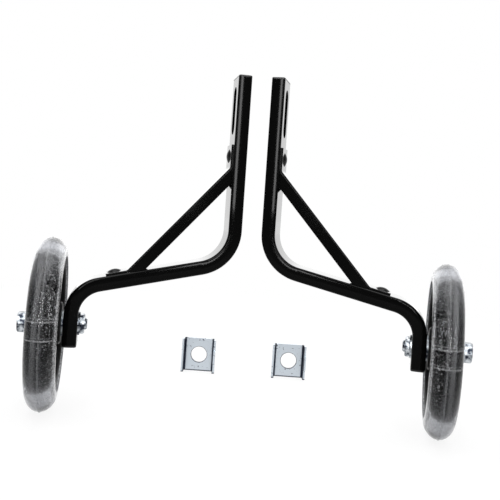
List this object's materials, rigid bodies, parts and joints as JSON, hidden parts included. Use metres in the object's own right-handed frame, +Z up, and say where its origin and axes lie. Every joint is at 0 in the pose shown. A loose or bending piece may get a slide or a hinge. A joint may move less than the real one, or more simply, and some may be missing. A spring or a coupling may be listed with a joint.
{
  "type": "bicycle training wheels",
  "caption": "Bicycle training wheels: bent flat-tube arms with axle slots and riveted braces, clear-tyred wheels turning on bolted axles, and folded axle clips.",
  "frame": {"origin": "on the line of the bicycle's rear axle, midway between the two arms, at the middle of their slots", "axes": "+Z up as on the bicycle, +Y forwards, +X along the rear axle to the bicycle's right"},
  "size_m": [0.3148, 0.1995, 0.2427],
  "materials": {
    "black_paint": "gloss",
    "black_plug": "satin",
    "black_hub": "gloss",
    "clear_tyre": "gloss",
    "zinc_steel": "satin",
    "zinc_clip": "satin"
  },
  "bodies": {
    "arms": {"left_arm_tube": "black_paint", "left_top_plug": "black_plug", "left_foot_plug": "black_plug", "left_brace": "black_paint", "left_brace_rivets": "black_paint", "left_axle_sleeve": "zinc_steel", "left_axle_bolt": "zinc_steel", "left_outer_washer": "zinc_steel", "left_inner_spacer": "zinc_steel", "left_nut_washer": "zinc_steel", "left_axle_nut": "zinc_steel", "left_axle_clip": "zinc_clip", "right_arm_tube": "black_paint", "right_top_plug": "black_plug", "right_foot_plug": "black_plug", "right_brace": "black_paint", "right_brace_rivets": "black_paint", "right_axle_sleeve": "zinc_steel", "right_axle_bolt": "zinc_steel", "right_outer_washer": "zinc_steel", "right_inner_spacer": "zinc_steel", "right_nut_washer": "zinc_steel", "right_axle_nut": "zinc_steel", "right_axle_clip": "zinc_clip"},
    "left_wheel": {"left_tyre": "clear_tyre", "left_hub": "black_hub"},
    "right_wheel": {"right_tyre": "clear_tyre", "right_hub": "black_hub"}
  },
  "joints": [
    {"name": "left_wheel_spin", "type": "hinge", "parent": "arms", "child": "left_wheel", "pos_m": [-0.13685, -0.02566, -0.15805], "axis": [-0.9789, -0.2045, 0], "continuous": true},
    {"name": "right_wheel_spin", "type": "hinge", "parent": "arms", "child": "right_wheel", "pos_m": [0.13685, -0.02566, -0.15805], "axis": [0.9789, -0.2045, 0], "continuous": true}
  ]
}
